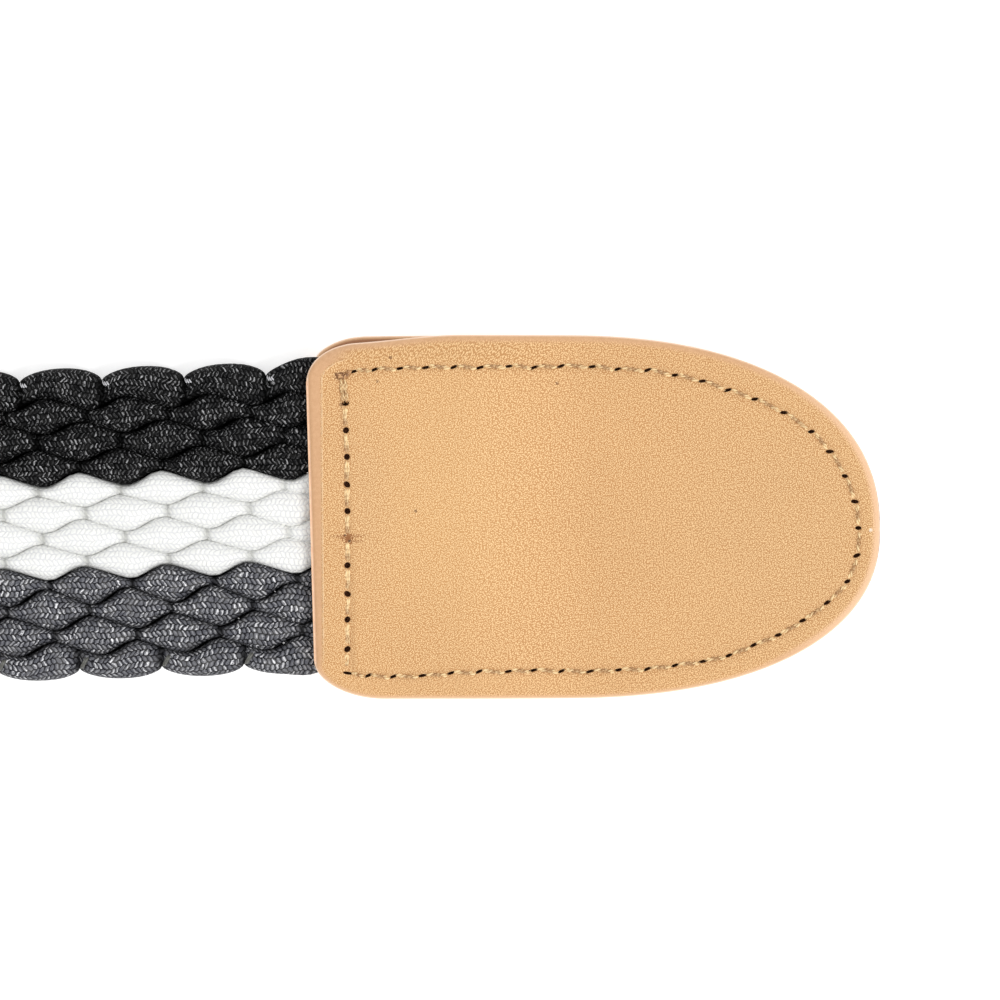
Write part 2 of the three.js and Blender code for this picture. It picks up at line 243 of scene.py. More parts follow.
def jacket(name, colours, per_pitch, glints, gloss, shade, fade, depth):
    """The braided jacket of a cord: short yarns in columns that run along it, each slanted against
    its neighbours. Its places are pitches of the weave along the cord and columns round it."""
    m = Shader(name)
    gap, yarn, glint = colours
    place = m.node("ShaderNodeUVMap", uv_map="along_round").outputs[0]
    split = m.node("ShaderNodeSeparateXYZ", {0: place}).outputs
    along = m.math("MULTIPLY", split[0], per_pitch)
    drift = m.noise(m.join(m.math("MULTIPLY", along, 0.3), m.math("MULTIPLY", split[1], 0.7)), 1.0, 1.0)
    drift = m.math("SUBTRACT", drift, 0.5)
    round_ = m.math("ADD", split[1], m.math("MULTIPLY", drift, 0.35))
    warp = m.noise(m.join(m.math("MULTIPLY", along, 1.5), m.math("MULTIPLY", split[1], 1.7), 5.0), 1.0, 1.0)
    warp = m.math("SUBTRACT", warp, 0.5)
    round_ = m.math("ADD", round_, m.math("MULTIPLY", warp, 0.3))
    column = m.math("FLOOR", round_)
    odd = m.math("SUBTRACT", m.math("MULTIPLY", m.math("FLOORED_MODULO", column, 2.0), 2.0), 1.0)
    inside = m.math("SUBTRACT", m.math("SUBTRACT", round_, column), 0.5)
    lean = m.noise(m.join(m.math("MULTIPLY", along, 0.6), m.math("MULTIPLY", column, 3.7), 9.0), 1.0, 1.0)
    lean = m.math("MULTIPLY", inside, m.math("ADD", 0.05, m.math("MULTIPLY", lean, 1.1)))
    shift = m.math("MULTIPLY", odd, m.math("ADD", 0.25, lean))
    phase = m.math("ADD", m.math("ADD", along, shift), m.math("MULTIPLY", drift, 1.3))
    phase = m.math("ADD", phase, m.math("MULTIPLY", warp, 0.45))
    cell = m.join(m.math("FLOOR", phase), column)
    chance = m.node("ShaderNodeTexWhiteNoise", {"Vector": cell}, noise_dimensions="2D").outputs[0]
    off = m.math("SUBTRACT", m.math("FRACT", phase), 0.5)
    wide = m.math("POWER", m.math("ABSOLUTE", m.math("MULTIPLY", off, 2.06)), 2.4)
    long_ = m.math("POWER", m.math("ABSOLUTE", m.math("MULTIPLY", inside, 1.96)), 3.2)
    oval = m.math("SUBTRACT", 1.0, m.math("ADD", wide, long_))
    dome = m.math("POWER", m.math("MAXIMUM", oval, 0.0), 0.55)
    strand = m.join(m.math("MULTIPLY", phase, 4.4), m.math("MULTIPLY", round_, 1.5), m.math("MULTIPLY", chance, 7.0))
    fibre = m.noise(strand, 1.0, 2.0, 0.6)
    height = m.math("ADD", dome, m.math("MULTIPLY", m.math("SUBTRACT", fibre, 0.5), 0.9))
    # The gap colour, towards the edge of each yarn's dome, is painted shade between the yarns.
    colour = m.mix(m.ramp(dome, 0.10, 0.90), gap, yarn)
    # Painted highlights: the glint colour laid in bits along each yarn's ridge.
    ridge = m.math("ABSOLUTE", m.math("SUBTRACT", off, 0.07))
    painted_glint = m.math("MULTIPLY", m.ramp(dome, 0.3, 0.8), m.ramp(fibre, *glints))
    painted_glint = m.math("MULTIPLY", painted_glint, m.ramp(ridge, 0.07, 0.28, 1.0, 0.10))
    painted_glint = m.math("MULTIPLY", painted_glint, m.math("ADD", 0.10, m.math("MULTIPLY", m.math("POWER", chance, 1.5), 0.90)))
    colour = m.mix(painted_glint, colour, glint)
    tint = m.noise(m.join(m.math("MULTIPLY", along, 0.45), m.math("MULTIPLY", split[1], 0.5), 3.0), 1.0, 2.0)
    warm = tuple(c * t for c, t in zip(glint, (1.0, 0.97, 0.9)))
    colour = m.mix(m.ramp(tint, 0.42, 0.7, 0.0, fade), colour, warm)
    # Painted shade from the shade attribute, in the dips and along the seams.
    sunk = m.node("ShaderNodeAttribute", attribute_name="shade").outputs["Fac"]
    colour = m.mix(m.math("MINIMUM", sunk, 1.0), colour, shade)
    m.set(Base_Color=colour, Roughness=0.5, Specular_IOR_Level=gloss)
    m.bump(height, depth)
    return m.material


# Each jacket's colours are the painted shade between yarns, the yarn and the painted glint; the later colour is the
# painted shade of the dips and seams.
black_jacket = jacket(
    "black_jacket", ((0.0008, 0.0008, 0.001), (0.0064, 0.0064, 0.0069), (0.48, 0.48, 0.49)),
    18.5, (0.45, 0.60), 0.03, (0.0008, 0.0008, 0.0008), 0.015, 0.11,
)
white_jacket = jacket(
    "white_jacket", ((0.735, 0.74, 0.75), (0.805, 0.81, 0.79), (0.97, 0.975, 0.94)),
    17, (0.38, 0.62), 0.25, (0.42, 0.42, 0.385), 0.10, 0.05,
)
grey_jacket = jacket(
    "grey_jacket", ((0.004, 0.004, 0.006), (0.090, 0.092, 0.108), (0.96, 0.96, 0.98)),
    16.5, (0.40, 0.59), 0.12, (0.003, 0.003, 0.004), 0.06, 0.11,
)


# The woven strap

# Seams between neighbouring cords on the face, from the black edge down. y is the middle of the
# seam's wave, swing its half height, and peak where it is highest, as a share of the weave's pitch.
SEAMS = [
    {"y": 12.46, "swing": 0.66, "peak": 0.63},
    {"y": 9.93, "swing": 0.60, "peak": 0.055},
    {"y": 7.02, "swing": 0.62, "peak": 0.50},
    {"y": 4.49, "swing": 0.74, "peak": 0.02},
    {"y": 2.16, "swing": 0.56, "peak": 0.515},
    {"y": -0.42, "swing": 0.66, "peak": 0.036},
    {"y": -2.96, "swing": 0.60, "peak": 0.536},
    {"y": -5.44, "swing": 0.70, "peak": 0.06},
    {"y": -7.92, "swing": 0.86, "peak": 0.585},
    {"y": -10.67, "swing": 0.74, "peak": 0.13},
    {"y": -13.40, "swing": 0.72, "peak": 0.67},
]
UPPER_EDGE = {"y": 16.3, "notch": 0.298, "depth": 1.4}
LOWER_EDGE = {"y": -16.68, "notch": -0.07, "depth": 1.2}
DIPS = [0.298, 0.11, 0.50, 0.0, 0.482, 0.051, 0.522, 0.05, 0.608, 0.065, 0.651, -0.07]
WEAVE_ZERO = MOUTH - MOUTH_PIXEL * MM_PER_PIXEL - 0.2

FACE_POINTS = 9
BACK_POINTS = 7
DIP_STATIONS = [0, 0.022, 0.055, 0.11, 0.19, 0.28, 0.39, 0.5, 0.61, 0.72, 0.81, 0.89, 0.945, 0.978]


def share_at(x):
    return (x - WEAVE_ZERO) / WEAVE_PITCH


def seam(i, x, face):
    """Where a seam runs, on the face (1) or on the back (-1)."""
    if i < 0 or i >= len(SEAMS):
        edge = UPPER_EDGE if i < 0 else LOWER_EDGE
        t = 2 * (np.mod(share_at(x) - edge["notch"], 1.0)) ** 1.1 - 1
        cut = edge["depth"] * (1 - np.maximum(0.0, 1 - np.abs(t) ** 2.2) ** 0.6)
        cut = cut - 0.42 * smooth((x - MOUTH + 3.8) / 4.0)
        return edge["y"] - math.copysign(1, edge["y"]) * cut
    row = SEAMS[i]
    turn = 2 * math.pi * (share_at(x) - row["peak"])
    wave = np.cos(turn) - 0.14 * np.sin(2 * turn)
    return row["y"] + face * row["swing"] * wave


COLOUR_SEAMS = (3, 7)  # between the black, white and grey cords


def climb(i, x):
    """1 where a seam climbs most steeply, and 0 where it falls or lies level."""
    if i < 0 or i >= len(SEAMS):
        return 0 * x
    turn = 2 * math.pi * (share_at(x) - SEAMS[i]["peak"])
    return np.maximum(0.0, -np.sin(turn)) ** 1.5


def parting(i, x):
    """Half the gap beside a seam. It opens where the seam climbs, and cords of one colour press
    into each other where it falls."""
    if i < 0 or i >= len(SEAMS):
        return 0 * x
    if i in COLOUR_SEAMS:
        return 0.02 + 0.05 * climb(i, x)
    if i in (4, 5, 6):
        return 0.03 * climb(i, x) - 0.11
    return 0.15 * climb(i, x) - 0.05


def hollow(x, dip):
    """How far a cord sinks on the side where it dips."""
    off = np.mod(share_at(x) - dip + 0.5, 1.0) - 0.5
    broad = 0.45 * (1 + np.cos(2 * math.pi * off)) / 2
    off = off * WEAVE_PITCH
    return broad + 0.35 * np.exp(-((off / 0.9) ** 2)) + 0.75 * np.exp(-((off / 0.27) ** 2))


def pressed(x):
    """0 where the strap lies free, 1 between the leathers."""
    at_tip = smooth((x - MOUTH + 10.0) / 8.5)
    at_fold = 1 - smooth((x - FOLD_MOUTH - 1.5) / 8.5)
    return np.maximum(at_tip, at_fold)


def strap_height(x, z):
    low = LEATHER + GAP + z * PRESSED_THICKNESS / STRAP_THICKNESS
    return z + (low - z) * pressed(x)


def cord_rings(cord, column):
    """A cord's rings, its places along the weave, and the columns of its jacket round it."""
    first = math.floor(share_at(STRAP_START)) - 2
    last = math.ceil(share_at(STRAP_END)) + 2
    shares = [n + s + DIPS[cord] for n in range(first, last) for s in DIP_STATIONS]
    x = WEAVE_ZERO + WEAVE_PITCH * np.array(shares)
    x = x[(x > STRAP_START + 0.1) & (x < STRAP_END - 0.1)]
    x = np.concatenate([[STRAP_START], x, [STRAP_END]])
    rings = np.zeros((len(x), FACE_POINTS + BACK_POINTS, 3))
    rings[:, :, 0] = x[:, None]
    middle = STRAP_THICKNESS / 2
    for face, count, offset in ((1, FACE_POINTS, 0), (-1, BACK_POINTS, FACE_POINTS)):
        upper = seam(cord - 1, x, face) - parting(cord - 1, x)
        lower = seam(cord, x, face) + parting(cord, x)
        centre, half = (upper + lower) / 2, (upper - lower) / 2
        sink = hollow(x, DIPS[cord] + (0.5 if face < 0 else 0.0))
        shoulder = middle + face * 0.08 * STRAP_THICKNESS
        crown = middle + face * (middle - sink)
        for k in range(count):
            angle = math.pi * k / (count - 1)
            rings[:, offset + k, 1] = centre + face * half * math.cos(angle)
            lift = math.sin(angle) ** 0.85
            rings[:, offset + k, 2] = strap_height(x, shoulder + (crown - shoulder) * lift)
    closed = np.concatenate([rings, rings[:, :1]], 1)
    steps = np.hypot(np.diff(closed[:, :, 1], axis=1), np.diff(closed[:, :, 2], axis=1))
    around = np.concatenate([np.zeros((len(x), 1)), np.cumsum(steps, 1)], 1)
    around -= around[:, FACE_POINTS // 2, None]
    # Painted shade: darker towards each dip and along the seams' edges, most where a seam climbs; fainter on the
    # white cords.
    mark = np.zeros(rings.shape[:2])
    pale = cord in (4, 5, 6, 7)
    faint = 0.42 if pale else 1.0
    for start, dip in ((0, DIPS[cord]), (FACE_POINTS, DIPS[cord] + 0.5)):
        off = (np.mod(share_at(x) - dip + 0.5, 1.0) - 0.5) * WEAVE_PITCH
        off = off + 0.10 * np.sin(3.0 * x)
        mark[:, start : start + 9] += (0.5 if pale else 0.85) * np.exp(-((off / 0.40) ** 2))[:, None]
    for edge, inwards, i in ((0, 1, cord - 1), (8, -1, cord)):
        rise = climb(i, x)
        if pale:
            mark[:, edge] += faint * (0.9 * rise + 0.15)
            mark[:, edge + inwards] += 0.25 * rise
        else:
            mark[:, edge] += 0.75 * rise + 0.35
            mark[:, edge + inwards] += 0.50 * rise + 0.30
            mark[:, edge + 2 * inwards] += 0.22 * rise + 0.12
    return rings, share_at(x), around / column + 0.5, mark


def cord_band(name, cords, column, material):
    skin = Skin()
    for cord in cords:
        rings, along, around, mark = cord_rings(cord, column)
        skin.sweep(rings, along + 0.37 * cord, around=around + 40 * cord, mark=mark)
    return skin.make(name, material)


black = cord_band("cords_black", range(0, 4), 0.64, black_jacket)
white = cord_band("cords_white", range(4, 8), 0.66, white_jacket)
grey = cord_band("cords_grey", range(8, 12), 0.65, grey_jacket)
finish_piece(black, "black_cord", "black_cords")
finish_piece(white, "white_cord", "white_cords")
finish_piece(grey, "grey_cord", "grey_cords")


# Threads


def thread_frames(path):
    """Unit vectors along a path and two across it."""
    along = np.gradient(path, axis=0)
    along /= np.linalg.norm(along, axis=1)[:, None]
    up = np.array([0.0, 0.0, 1.0])
    side = np.cross(along, up)
    length = np.linalg.norm(side, axis=1)[:, None]
    side = np.where(length > 1e-3, side / np.maximum(length, 1e-9), [0.0, 1.0, 0.0])
    return along, side, np.cross(side, along)


def add_strand(skin, path, radius, sides=6, pale=None):
    along, side, over = thread_frames(path)
    angle = 2 * math.pi * np.arange(sides) / sides
    out = np.cos(angle)[None, :, None] * side[:, None] + np.sin(angle)[None, :, None] * over[:, None]
    steps = np.linalg.norm(np.diff(path, axis=0), axis=1)
    run = np.concatenate([[0.0], np.cumsum(steps)])
    mark = None if pale is None else np.repeat(pale[:, None], sides, 1)
    skin.sweep(path[:, None] + radius * out, run, mark=mark)


def add_twist(skin, path, radius, plies=2, turn=1.3, start=0.0, pale=None):
    """A thread of plies twisted round each other, one turn for each turn millimetres."""
    along, side, over = thread_frames(path)
    steps = np.linalg.norm(np.diff(path, axis=0), axis=1)
    run = np.concatenate([[0.0], np.cumsum(steps)])
    for ply in range(plies):
        angle = start + 2 * math.pi * (run / turn + ply / plies)
        away = np.cos(angle)[:, None] * side + np.sin(angle)[:, None] * over
        add_strand(skin, path + 0.85 * radius * away, radius, pale=pale)


def thread_material(name, dark, light):
    m = Shader(name)
    place = m.node("ShaderNodeUVMap", uv_map="along_round").outputs[0]
    split = m.node("ShaderNodeSeparateXYZ", {0: place}).outputs
    fibre = m.noise(m.join(m.math("MULTIPLY", split[0], 2.5), m.math("MULTIPLY", split[1], 7.0)), 1.0, 3.0, 0.6)
    # The shade attribute lightens or darkens the thread: painted highlight and shade on the stitches, patchy tone on
    # the knot.
    pale = m.node("ShaderNodeAttribute", attribute_name="shade").outputs["Fac"]
    share = m.math("ADD", m.ramp(fibre, 0.36, 0.62), m.math("SUBTRACT", m.math("MULTIPLY", pale, 1.3), 0.55))
    share = m.math("MINIMUM", m.math("MAXIMUM", share, 0.0), 1.0)
    m.set(Base_Color=m.mix(share, dark, light), Roughness=0.45)
    m.bump(fibre, 0.04)
    return m.material


# The leather


def nose_share(u, power):
    t = clamp01((u - (TIP_LENGTH - NOSE_LENGTH)) / (NOSE_LENGTH + LET_OUT))
    return (1 - t**power) ** (1 / power)


def corner_cut(u, length, depth):
    t = clamp01(1 - u / length)
    return depth * (1 - np.sqrt(1 - t * t))


def tip_upper(u):
    return -NOSE_DROP + (LEATHER_WIDTH / 2 + NOSE_DROP + 0.6 * LET_OUT) * nose_share(u, 2.3)


def tip_lower(u):
    edge = -NOSE_DROP - (LEATHER_WIDTH / 2 - NOSE_DROP + LET_OUT) * nose_share(u, 2.28)
    return edge + corner_cut(u, 7.4, 4.2)


def front_upper(u):
    return tip_upper(u) - 0.95 * (1 - smooth((u - 3.0) / 13.0)) - corner_cut(u, 5.4, 4.3)


def back_upper(u):
    hidden = 0.6 * (1 - smooth((u - 0.3) / 1.0))
    return tip_upper(u) - 0.15 * (1 - smooth(u / 12.0)) - corner_cut(u, 6.2, 4.3) - hidden


def lift_share(u, v):
    closing = TIP_OVERLAP + GAP
    inner = 15.6
    along = 1 - smooth((u - closing) / SETTLE_RUN)
    return along * (1 - 0.5 * smooth((np.abs(v) - inner) / (LEATHER_WIDTH / 2 - inner)))


def mouth_shift(u, v):
    return v * math.tan(TIP_TURN) * (1 - smooth(u / (TIP_LENGTH - NOSE_LENGTH)))


def nearest(points, line):
    """The distance of each point to the closest point of a dense line."""
    found = np.full(len(points), 1e9)
    for begin in range(0, len(points), 4000):
        part = points[begin : begin + 4000]
        gaps = part[:, None] - line[None]
        found[begin : begin + 4000] = np.sqrt((gaps**2).sum(2)).min(1)
    return found


# Holes of the stitching, in the picture's pixels, from the upper corner round the nose and back
# to the lower corner, and then down the line beside the mouth.
ROUND_HOLES = [
    (354, 372), (375, 370), (400, 369), (426, 368), (454, 367.5), (480, 368), (509, 366.5),
    (534, 367.5), (561, 366), (592.5, 366.5), (617.5, 369), (647.5, 370), (675, 375), (702.5, 381),
    (728, 390), (755, 399), (784, 412.5), (811.5, 431.5), (830, 451.5), (845, 476), (855, 501.5),
    (858.5, 528), (857, 555.5), (847.5, 581.5), (827.5, 602.5), (803, 620.5), (778.5, 635),
    (754, 645), (729, 655.5), (703, 661.5), (675, 665.5), (647.5, 669), (618.5, 670), (590, 671.5),
    (561.5, 671), (533.5, 670), (508.5, 671), (479, 671), (451, 672.5), (422.5, 675),
    (393.5, 676), (368.5, 675), (348.5, 672.5),
]
MOUTH_HOLES = [
    (344.5, 378), (346, 403.5), (346.5, 430.5), (347.5, 457), (347.5, 484.5), (348, 511),
    (348, 538), (348, 565), (348, 593.5), (348, 619), (348, 648.5), (348.5, 672.5),
]
round_holes = np.array([tip_place(p) for p in ROUND_HOLES])
mouth_holes = np.array([tip_place(p) for p in MOUTH_HOLES])


def dense_line(points, step=0.1):
    parts = []
    for a, b in zip(points[:-1], points[1:]):
        count = max(2, int(np.linalg.norm(b - a) / step))
        parts.append(a + (b - a) * np.linspace(0, 1, count, endpoint=False)[:, None])
    return np.concatenate(parts + [points[-1:]])


stitch_line = np.concatenate([dense_line(round_holes), dense_line(mouth_holes)])


def front_surface(u, v):
    """The height of the front layer's face above the table, without its rounded edge."""
    return 2 * LEATHER + GAP + (PRESSED_THICKNESS + GAP) * lift_share(u, v)


def near_mouth(u, v):
    """1 beside the mouth's straight cut, 0 away from it."""
    return (1 - smooth((u - 2.2) / 3.5)) * (1 - smooth((-v - 13.5) / 3.0))


def tip_layer(name, upper, lower, floor, steps, grooved):
    """One layer of the tip, as a fine grid over its outline with softly rounded edges."""
    along, across = steps
    near = 5.0 * np.linspace(0, 1, along // 5, endpoint=False) ** 1.7
    turn = np.linspace(0, 1, along - len(near))
    rest = 5.0 + (TIP_LENGTH + LET_OUT - 5.0) * np.sin(0.5 * math.pi * turn)
    u_line = np.concatenate([near, rest])
    u_line[0] = 0.13
    places = np.sin(0.5 * math.pi * np.linspace(-1, 1, across + 1))
    top, bottom = upper(u_line), lower(u_line)
    v = (top + bottom)[:, None] / 2 + (top - bottom)[:, None] / 2 * places[None]
    u = np.repeat(u_line[:, None], across + 1, 1)
    outline = np.concatenate([
        np.stack([u_line, top], 1), np.stack([u_line, bottom], 1)[::-1],
        np.stack([np.full(60, u_line[0]), np.linspace(bottom[0], top[0], 60)], 1),
    ])
    edge_line = dense_line(outline, 0.08)
    flat = np.stack([u.ravel(), v.ravel()], 1)
    inset = nearest(flat, edge_line).reshape(u.shape)
    inset[:, [0, -1]] = 0
    inset[[0, -1]] = 0
    radius = 0.36 * LEATHER
    cut = 1 - clamp01(inset / radius)
    drop = radius * (1 - np.sqrt(np.maximum(0.0, 1 - cut * cut)))
    mouth = near_mouth(u, v)
    drop += (0.10 + 0.16 * mouth) * (1 - smooth(inset / (1.0 + 0.45 * mouth)))
    low = floor(u, v)
    face = low + LEATHER - drop
    if grooved:
        off = nearest(flat, stitch_line).reshape(u.shape)
        face = face - 0.13 * np.exp(-((off / 0.42) ** 2)) * smooth(inset / 1.0)
    back_radius = 0.35 * LEATHER
    cut = 1 - clamp01(inset / back_radius)
    back = low + np.minimum(back_radius * (1 - np.sqrt(np.maximum(0.0, 1 - cut * cut))) * 1.0, face - low - 0.02)
    back = np.where(inset <= 0, face, back)
    x, y = tip_to_row(u + mouth_shift(u, v), v)
    n, m = u.shape
    points = np.concatenate([
        np.stack([x, y, face], 2).reshape(-1, 3), np.stack([x, y, back], 2).reshape(-1, 3)
    ])
    i, j = np.meshgrid(np.arange(n - 1), np.arange(m - 1), indexing="ij")
    i, j = i.ravel(), j.ravel()
    quad = np.stack([i * m + j, (i + 1) * m + j, (i + 1) * m + j + 1, i * m + j + 1], 1)
    faces = quad.tolist() + (quad[:, ::-1] + n * m).tolist()
    mesh = bpy.data.meshes.new(name)
    mesh.from_pydata((points * MM).tolist(), [], faces)
    work = bmesh.new()
    work.from_mesh(mesh)
    bmesh.ops.remove_doubles(work, verts=work.verts, dist=2e-6)
    bmesh.ops.recalc_face_normals(work, faces=work.faces)
    work.to_mesh(mesh)
    work.free()
    made = bpy.data.objects.new(name, mesh)
    bpy.context.collection.objects.link(made)
    return made, edge_line


def row_to_tip(points):
    """Back from the belt's frame to the tip's own, for an array of points in millimetres."""
    c, s = math.cos(TIP_TURN), math.sin(TIP_TURN)
    x, y = points[:, 0] - MOUTH, points[:, 1] - TIP_OFFSET
    return np.stack([x * c + y * s, -x * s + y * c], 1)


def mark_edges(piece, edge_line, sewn_layer):
    """Stores how far each point lies from the layer's outline, for its material."""
    mesh = piece.data
    co = np.zeros(len(mesh.vertices) * 3)
    mesh.vertices.foreach_get("co", co)
    flat = row_to_tip(co.reshape(-1, 3) / MM)
    flat[:, 0] -= mouth_shift(flat[:, 0], flat[:, 1])
    mark = mesh.attributes.new("inset", "FLOAT", "POINT")
    mark.data.foreach_set("value", nearest(flat, edge_line).astype(np.float32))
    mark = mesh.attributes.new("mouth", "FLOAT", "POINT")
    mark.data.foreach_set("value", near_mouth(flat[:, 0], flat[:, 1]).astype(np.float32))
    # Painted shade beside the stitch line, on the sewn layer only.
    mark = mesh.attributes.new("stitch_shade", "FLOAT", "POINT")
    beside = np.exp(-((nearest(flat, stitch_line) / 0.42) ** 2))
    mark.data.foreach_set("value", (0.5 * beside * (sewn_layer > 0)).astype(np.float32))
    mesh.polygons.foreach_set("use_smooth", np.ones(len(mesh.polygons), bool))
    mesh.update()
    return co.reshape(-1, 3) / MM


def hole_cutter(places):
    """Slightly slanted oval punches, one for each hole of the stitching."""
    skin = Skin()
    for (u, v), (length, width, turn) in places:
        top = float(front_surface(np.array(u), np.array(v))) + 0.6
        angle = 2 * math.pi * np.arange(14) / 14
        c, s = math.cos(turn), math.sin(turn)
        rings = []
        for z, size in ((top, 1.25), (top - 0.58, 1.12), (top - 0.80, 0.94), (top - 1.8, 0.8)):
            a, b = size * length / 2 * np.cos(angle), size * width / 2 * np.sin(angle)
            x, y = tip_to_row(u + a * c - b * s, v + a * s + b * c)
            rings.append(np.stack([x, y, np.full(14, z)], 1))
        skin.sweep(np.array(rings), np.arange(4.0))
    return skin


def leather_material(name, spots=(), lip=False):
    m = Shader(name)
    place = m.node("ShaderNodeTexCoord").outputs["Object"]
    inset = m.node("ShaderNodeAttribute", attribute_name="inset").outputs["Fac"]
    mouth = m.node("ShaderNodeAttribute", attribute_name="mouth").outputs["Fac"]
    split = m.node("ShaderNodeSeparateXYZ", {0: place}).outputs
    # Leaning with the height, so that the pores don't run down the edges as streaks
    leaning = [m.math("ADD", split[k], m.math("MULTIPLY", split[2], lean)) for k, lean in ((0, 0.9), (1, 0.8))]
    pores = m.node("ShaderNodeTexVoronoi", {"Vector": m.join(*leaning), "Scale": 6600.0}, voronoi_dimensions="2D")
    speck = m.ramp(pores.outputs["Distance"], 0.08, 0.64, 0.75, 0.25)
    grain = m.noise(place, 2400.0, 2.0, 0.6)
    patch = m.noise(place, 70.0, 3.0, 0.55)
    base = m.mix(m.ramp(patch, 0.3, 0.7), (0.566, 0.293, 0.112), (0.611, 0.322, 0.124))
    small = []
    for (x, y), size, tint, depth in spots:
        half = (size, size) if isinstance(size, float) else size
        away = m.node("ShaderNodeVectorMath", {0: place, 1: (x * MM, y * MM, 0.0)}, operation="SUBTRACT")
        scale = (1 / (half[0] * MM), 1 / (half[1] * MM), 0.0)
        away = m.node("ShaderNodeVectorMath", {0: away.outputs[0], 1: scale}, operation="MULTIPLY")
        away = m.node("ShaderNodeVectorMath", {0: away.outputs[0]}, operation="LENGTH").outputs["Value"]
        if max(half) < 2.5:
            away = m.math("ADD", away, m.math("MULTIPLY", m.math("SUBTRACT", speck, 0.5), 1.2))
            small.append((m.ramp(away, 0.35, 1.0, depth, 0.0), tint))
        else:
            # Broad spots shift the base colour: painted light and shade.
            base = m.mix(m.ramp(away, 0.0, 1.0, depth, 0.0), base, tint)
    dark = m.mix(0.47, base, (0.42, 0.20, 0.07))
    light = m.mix(0.78, base, (0.98, 0.68, 0.36))
    colour = m.mix(m.ramp(speck, 0.36, 0.70), dark, light)
    colour = m.mix(m.ramp(grain, 0.46, 0.70, 0.0, 0.1), colour, dark)
    for share, tint in small:
        colour = m.mix(share, colour, tint)
    # Painted shade along the stitch groove.
    stitch_shade = m.node("ShaderNodeAttribute", attribute_name="stitch_shade").outputs["Fac"]
    colour = m.mix(m.math("MULTIPLY", stitch_shade, m.ramp(speck, 0.35, 0.65, 0.75, 0.25)), colour, (0.36, 0.19, 0.08))
    far = m.ramp(split[0], (MOUTH + 45.0) * MM, (MOUTH + 58.5) * MM)
    low = m.ramp(split[1], -15.0 * MM, -18.0 * MM)
    # Beside the mouth the rim is a flat band with a crease along it. Elsewhere it fades inwards.
    line = m.math("ADD", 1.24, m.math("MULTIPLY", split[1], 22.0))
    band = m.ramp(m.math("SUBTRACT", inset, line), -0.30, 0.0, 1.0, 0.0)
    narrow = m.math("MULTIPLY", low, m.math("SUBTRACT", 1.0, far))
    reach = m.math("SUBTRACT", 1.05, m.math("MULTIPLY", narrow, 0.50))
    fade = m.ramp(m.math("DIVIDE", inset, reach), 0.30, 1.0, 1.0, 0.0)
    rim = m.math("ADD", m.math("MULTIPLY", band, mouth), m.math("MULTIPLY", fade, m.math("SUBTRACT", 1.0, mouth)))
    smooth_rim = m.mix(m.ramp(grain, 0.3, 0.7), (0.590, 0.338, 0.180), (0.640, 0.378, 0.208))
    # Painted light: the rim is lighter towards the nose and the lower side, which face the key light.
    painted_rim_light = m.math("MAXIMUM", m.math("MULTIPLY", far, 0.6), m.math("MULTIPLY", low, 0.25))
    smooth_rim = m.mix(painted_rim_light, smooth_rim, (0.86, 0.58, 0.38))
    colour = m.mix(m.math("MULTIPLY", rim, 0.92), colour, smooth_rim)
    off = m.math("ABSOLUTE", m.math("SUBTRACT", inset, line))
    # The crease is a real bump and is also painted lighter along it, a painted highlight.
    crease_and_highlight = m.math("MULTIPLY", m.ramp(off, 0.02, 0.13, 1.0, 0.0), mouth)
    crease_and_highlight = m.math("MULTIPLY", crease_and_highlight, m.ramp(grain, 0.35, 0.6, 0.20, 0.7))
    colour = m.mix(crease_and_highlight, colour, (0.86, 0.60, 0.36))
    # A thin painted highlight along the outermost edge.
    outer = m.ramp(inset, 0.06, 0.2, 0.8, 0.0)
    colour = m.mix(outer, colour, (0.92, 0.68, 0.50))
    if lip:
        # Painted shadow of the front layer on the back layer's peeking lip.
        lip_shadow = m.math("MULTIPLY", m.ramp(inset, 0.22, 0.42), m.ramp(inset, 1.2, 2.0, 1.0, 0.0))
        colour = m.mix(lip_shadow, colour, (0.38, 0.175, 0.085))
    m.set(Base_Color=colour, Roughness=0.55, Specular_IOR_Level=0.3)
    height = m.math("ADD", speck, m.math("MULTIPLY", grain, 0.7))
    height = m.math("MULTIPLY", height, m.math("SUBTRACT", 1.0, m.math("MULTIPLY", rim, 0.8)))
    m.bump(m.math("ADD", height, m.math("MULTIPLY", crease_and_highlight, 1.2)), 0.05)
    return m.material


def dark_material(name, colour):
    m = Shader(name)
    place = m.node("ShaderNodeTexCoord").outputs["Object"]
    grain = m.noise(place, 6000.0, 2.0)
    m.set(Base_Color=m.mix(grain, colour, tuple(2.2 * c for c in colour)), Roughness=0.9)
    m.bump(grain, 0.05)
    return m.material


def spot(pixel, size, tint, depth):
    return tip_to_row(*tip_place(pixel)), size, tint, depth


